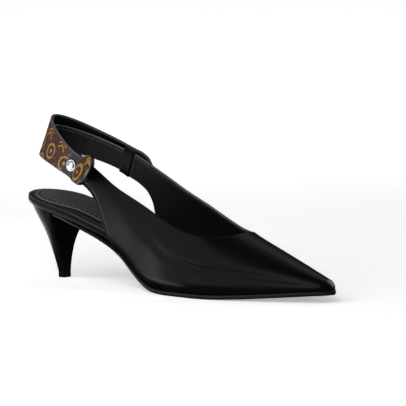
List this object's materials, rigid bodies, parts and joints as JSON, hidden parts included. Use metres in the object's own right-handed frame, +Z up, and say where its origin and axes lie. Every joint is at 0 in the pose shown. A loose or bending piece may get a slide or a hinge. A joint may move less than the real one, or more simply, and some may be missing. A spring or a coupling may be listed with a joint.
{
  "type": "slingback pump",
  "caption": "Black leather slingback pump, right shoe, with a pointed toe, a slim low heel and a brown canvas band round the heel that ends in round canvas tabs.",
  "frame": {"origin": "centre of the heel tip's flat underside, on the floor", "axes": "+X from the heel to the toe, +Y to the medial side, +Z up"},
  "size_m": [0.257, 0.087, 0.1165],
  "materials": {
    "black_leather": "smooth, soft sheen",
    "sock_leather": "matt, fine grain",
    "sole_leather": "satin, painted edge",
    "tip_rubber": "matt",
    "coated_canvas": "fine grain, gold line motif",
    "rivet_metal": "polished"
  },
  "bodies": {
    "root": {"upper": "black_leather", "outsole": "sole_leather", "insole": "black_leather", "sock": "sock_leather", "heel": "black_leather", "heel_tip": "tip_rubber", "sling": "black_leather", "canvas_band": "coated_canvas", "keeper_lateral": "black_leather", "keeper_medial": "black_leather", "strap_end_lateral": "black_leather", "strap_end_medial": "black_leather", "disc_lateral": "coated_canvas", "disc_medial": "coated_canvas", "rivet_lateral": "rivet_metal", "rivet_medial": "rivet_metal"}
  },
  "joints": []
}
